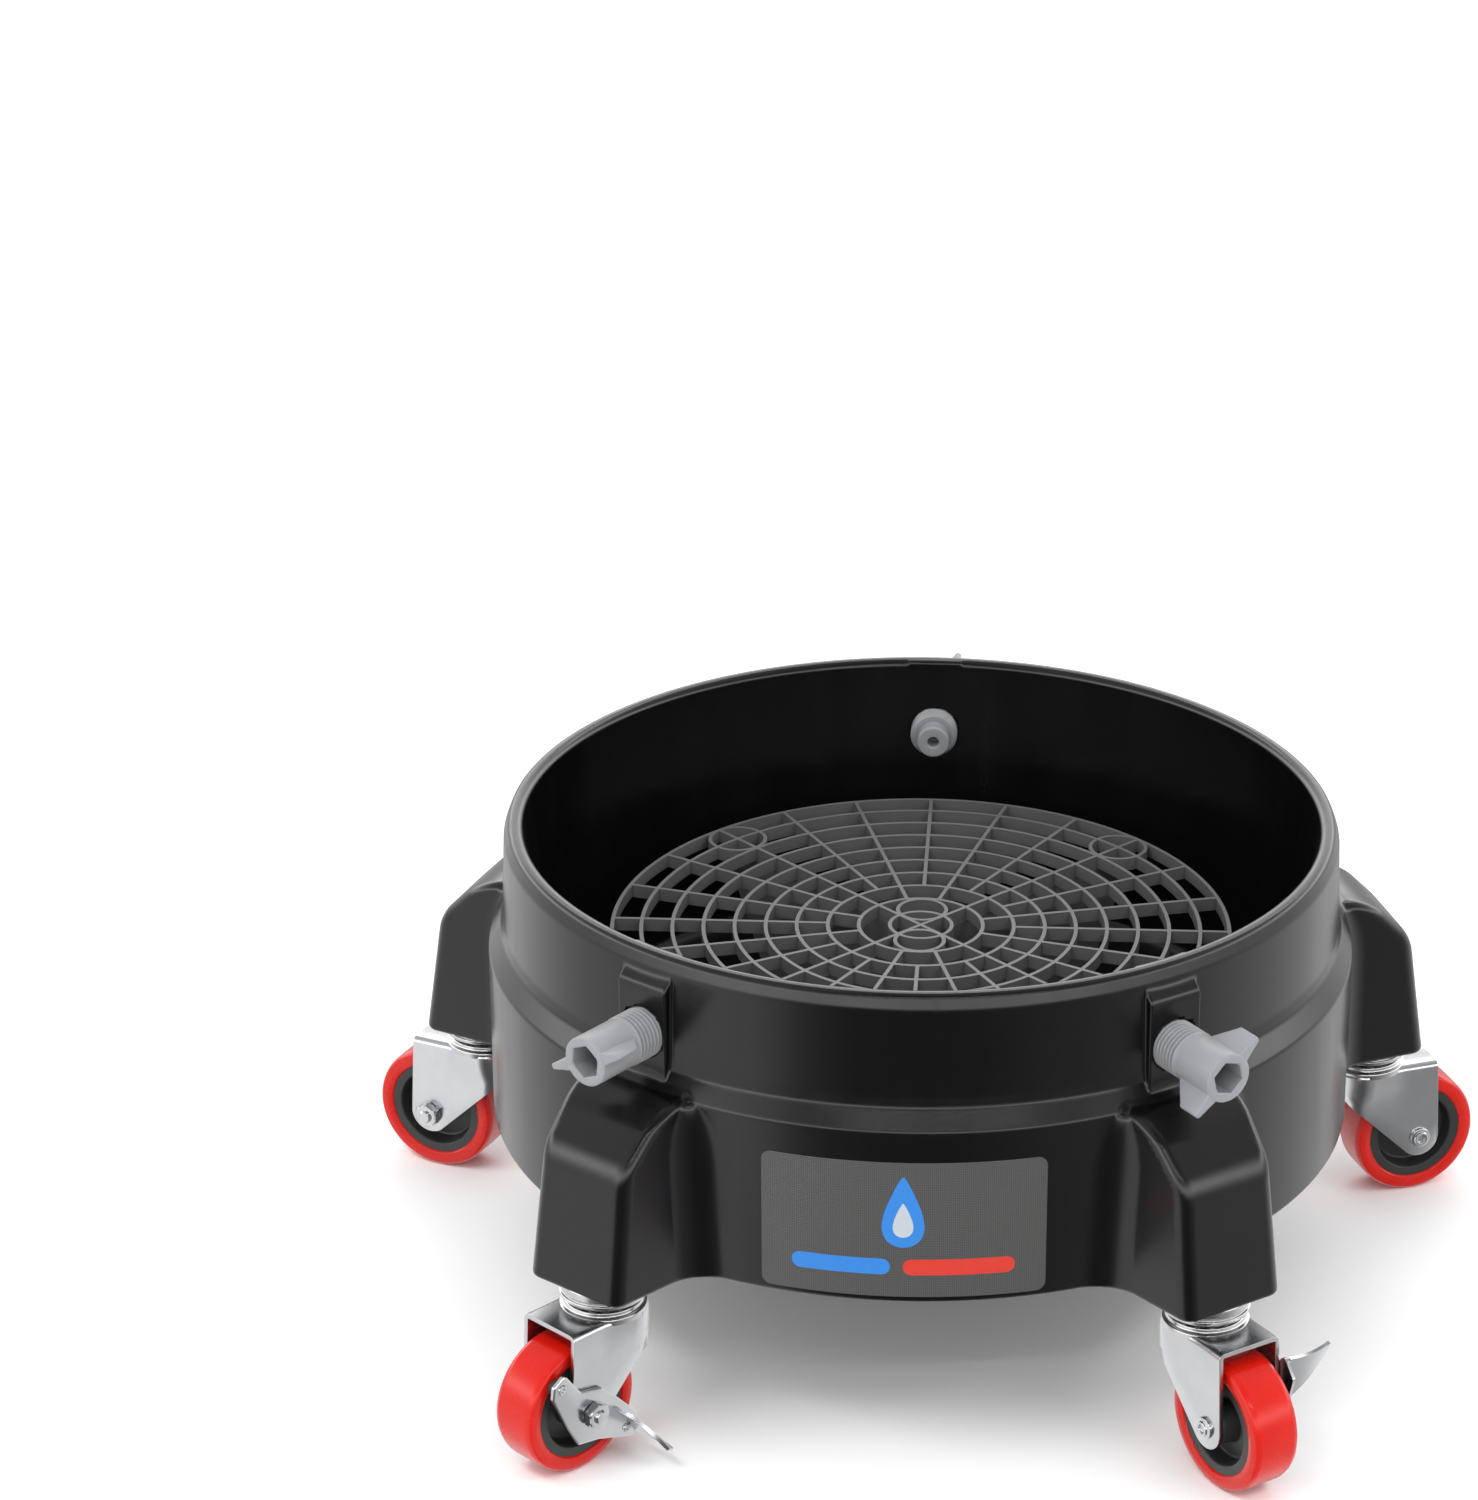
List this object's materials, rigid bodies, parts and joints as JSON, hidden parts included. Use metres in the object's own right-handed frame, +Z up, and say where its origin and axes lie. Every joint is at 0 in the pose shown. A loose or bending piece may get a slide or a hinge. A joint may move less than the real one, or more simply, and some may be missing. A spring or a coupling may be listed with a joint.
{
  "type": "bucket dolly",
  "caption": "Round moulded bucket dolly on swivel casters with side brakes, clamping screws around the pan and a lift-out grit grid insert.",
  "frame": {"origin": "on the floor, where all five wheels stand, under the axis of the pan", "axes": "+Z up, -Y towards the labelled front, +X to the right seen from the front"},
  "size_m": [0.4839, 0.4316, 0.205],
  "materials": {
    "pan_plastic": "satin, faint orange peel",
    "label_film": "satin film with a fine weave",
    "brass": "machined",
    "screw_plastic": "satin",
    "insert_plastic": "satin",
    "zinc_plate": "bright zinc plate",
    "bearing_steel": "polished",
    "bolt_steel": "zinc plate",
    "hub_plastic": "satin",
    "tread": "glossy cast polyurethane",
    "brake_rubber": "matt"
  },
  "bodies": {
    "pan": {"pan_shell": "pan_plastic", "front_label": "label_film", "stem_inserts": "brass", "front_left_stem": "zinc_plate", "front_right_stem": "zinc_plate", "right_stem": "zinc_plate", "rear_stem": "zinc_plate", "left_stem": "zinc_plate"},
    "insert": {"insert_grid": "insert_plastic", "insert_vanes": "insert_plastic"},
    "left_tip": {"left_screw_tip": "screw_plastic"},
    "left_screw": {"left_screw": "screw_plastic"},
    "right_tip": {"right_screw_tip": "screw_plastic"},
    "right_screw": {"right_screw": "screw_plastic"},
    "rear_tip": {"rear_screw_tip": "screw_plastic"},
    "rear_screw": {"rear_screw": "screw_plastic"},
    "front_left_caster": {"front_left_fork": "zinc_plate", "front_left_balls": "bearing_steel", "front_left_axle": "bolt_steel", "front_left_nut": "bolt_steel", "front_left_sleeve": "bearing_steel"},
    "front_left_wheel": {"front_left_hub": "hub_plastic", "front_left_tread": "tread"},
    "front_left_lever": {"front_left_brake": "zinc_plate", "front_left_brake_shoe": "brake_rubber"},
    "front_right_caster": {"front_right_fork": "zinc_plate", "front_right_balls": "bearing_steel", "front_right_axle": "bolt_steel", "front_right_nut": "bolt_steel", "front_right_sleeve": "bearing_steel"},
    "front_right_wheel": {"front_right_hub": "hub_plastic", "front_right_tread": "tread"},
    "front_right_lever": {"front_right_brake": "zinc_plate", "front_right_brake_shoe": "brake_rubber"},
    "right_caster": {"right_fork": "zinc_plate", "right_balls": "bearing_steel", "right_axle": "bolt_steel", "right_nut": "bolt_steel", "right_sleeve": "bearing_steel"},
    "right_wheel": {"right_hub": "hub_plastic", "right_tread": "tread"},
    "rear_caster": {"rear_fork": "zinc_plate", "rear_balls": "bearing_steel", "rear_axle": "bolt_steel", "rear_nut": "bolt_steel", "rear_sleeve": "bearing_steel"},
    "rear_wheel": {"rear_hub": "hub_plastic", "rear_tread": "tread"},
    "left_caster": {"left_fork": "zinc_plate", "left_balls": "bearing_steel", "left_axle": "bolt_steel", "left_nut": "bolt_steel", "left_sleeve": "bearing_steel"},
    "left_wheel": {"left_hub": "hub_plastic", "left_tread": "tread"}
  },
  "joints": [
    {"name": "insert_lift", "type": "slide", "parent": "pan", "child": "insert", "axis": [0, 0, 1], "range_m": [0, 0.16]},
    {"name": "left_screw_travel", "type": "slide", "parent": "pan", "child": "left_tip", "axis": [0.5878, 0.809, 0], "range_m": [-0.016, 0.011]},
    {"name": "left_screw_turn", "type": "hinge", "parent": "left_tip", "child": "left_screw", "pos_m": [-0.11168, -0.15371, 0.1725], "axis": [0.5878, 0.809, 0], "range_deg": [-2880, 1980]},
    {"name": "right_screw_travel", "type": "slide", "parent": "pan", "child": "right_tip", "axis": [-0.5878, 0.809, 0], "range_m": [-0.016, 0.012]},
    {"name": "right_screw_turn", "type": "hinge", "parent": "right_tip", "child": "right_screw", "pos_m": [0.11168, -0.15371, 0.1725], "axis": [-0.5878, 0.809, 0], "range_deg": [-2880, 2160]},
    {"name": "rear_screw_travel", "type": "slide", "parent": "pan", "child": "rear_tip", "axis": [0, -1, 0], "range_m": [-0.012, 0.014]},
    {"name": "rear_screw_turn", "type": "hinge", "parent": "rear_tip", "child": "rear_screw", "pos_m": [0, 0.19, 0.1725], "axis": [0, -1, 0], "range_deg": [-2160, 2520]},
    {"name": "front_left_swivel", "type": "hinge", "parent": "pan", "child": "front_left_caster", "pos_m": [-0.11914, -0.16399, 0.064], "axis": [0, 0, 1], "continuous": true},
    {"name": "front_left_roll", "type": "hinge", "parent": "front_left_caster", "child": "front_left_wheel", "pos_m": [-0.13373, -0.18019, 0.028], "axis": [0.7431, -0.6691, 0], "continuous": true},
    {"name": "front_left_brake_swing", "type": "hinge", "parent": "front_left_caster", "child": "front_left_lever", "pos_m": [-0.13373, -0.18019, 0.028], "axis": [0.7431, -0.6691, 0], "range_deg": [0, 68]},
    {"name": "front_right_swivel", "type": "hinge", "parent": "pan", "child": "front_right_caster", "pos_m": [0.11914, -0.16399, 0.064], "axis": [0, 0, 1], "continuous": true},
    {"name": "front_right_roll", "type": "hinge", "parent": "front_right_caster", "child": "front_right_wheel", "pos_m": [0.1318, -0.18174, 0.028], "axis": [0.8141, 0.5807, 0], "continuous": true},
    {"name": "front_right_brake_swing", "type": "hinge", "parent": "front_right_caster", "child": "front_right_lever", "pos_m": [0.1318, -0.18174, 0.028], "axis": [0.8141, 0.5807, 0], "range_deg": [0, 68]},
    {"name": "right_swivel", "type": "hinge", "parent": "pan", "child": "right_caster", "pos_m": [0.19278, 0.06264, 0.064], "axis": [0, 0, 1], "continuous": true},
    {"name": "right_roll", "type": "hinge", "parent": "right_caster", "child": "right_wheel", "pos_m": [0.21299, 0.0708, 0.028], "axis": [-0.3746, 0.9272, 0], "continuous": true},
    {"name": "rear_swivel", "type": "hinge", "parent": "pan", "child": "rear_caster", "pos_m": [0, 0.2027, 0.064], "axis": [0, 0, 1], "continuous": true},
    {"name": "rear_roll", "type": "hinge", "parent": "rear_caster", "child": "rear_wheel", "pos_m": [0.01991, 0.19383, 0.028], "axis": [0.4067, 0.9135, 0], "continuous": true},
    {"name": "left_swivel", "type": "hinge", "parent": "pan", "child": "left_caster", "pos_m": [-0.19278, 0.06264, 0.064], "axis": [0, 0, 1], "continuous": true},
    {"name": "left_roll", "type": "hinge", "parent": "left_caster", "child": "left_wheel", "pos_m": [-0.21292, 0.07098, 0.028], "axis": [-0.3827, -0.9239, 0], "continuous": true}
  ],
  "couplings": [
    {"joint": "left_screw_travel", "follows": "left_screw_turn", "m_per_rad": 0.00031831},
    {"joint": "right_screw_travel", "follows": "right_screw_turn", "m_per_rad": 0.00031831},
    {"joint": "rear_screw_travel", "follows": "rear_screw_turn", "m_per_rad": 0.00031831}
  ]
}
